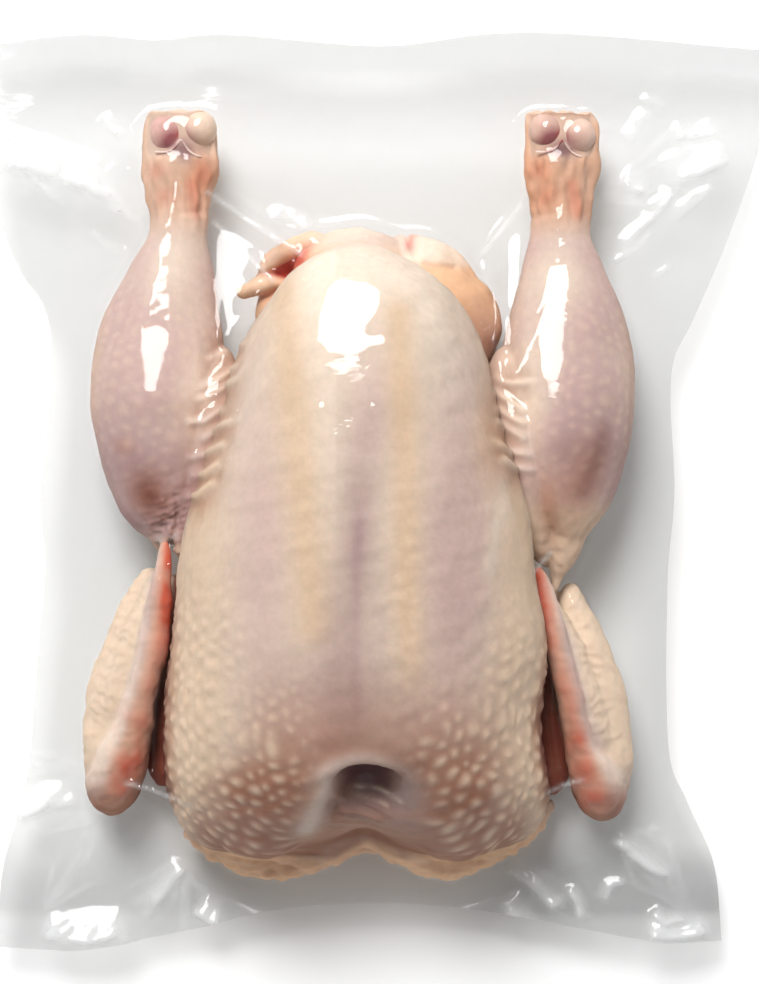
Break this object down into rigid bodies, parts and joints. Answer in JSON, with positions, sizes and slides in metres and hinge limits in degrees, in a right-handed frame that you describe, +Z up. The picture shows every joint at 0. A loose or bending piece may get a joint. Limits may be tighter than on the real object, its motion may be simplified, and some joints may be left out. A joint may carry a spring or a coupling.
{
  "type": "whole raw chicken",
  "caption": "Whole raw chicken on its back, sealed in a clear vacuum bag that is drawn tight over it, with a thin wavy margin all round.",
  "frame": {"origin": "on the surface that the pack lies on, under the middle of the bag's outline", "axes": "+Y from the bird's neck to the ends of its legs, +Z up through its breast, +X to the right seen from above"},
  "size_m": [0.286, 0.3268, 0.1072],
  "materials": {
    "skin": "moist",
    "fat": "moist",
    "cartilage": "moist",
    "film": "glossy"
  },
  "bodies": {
    "root": {"vacuum_bag": "skin"}
  },
  "joints": []
}
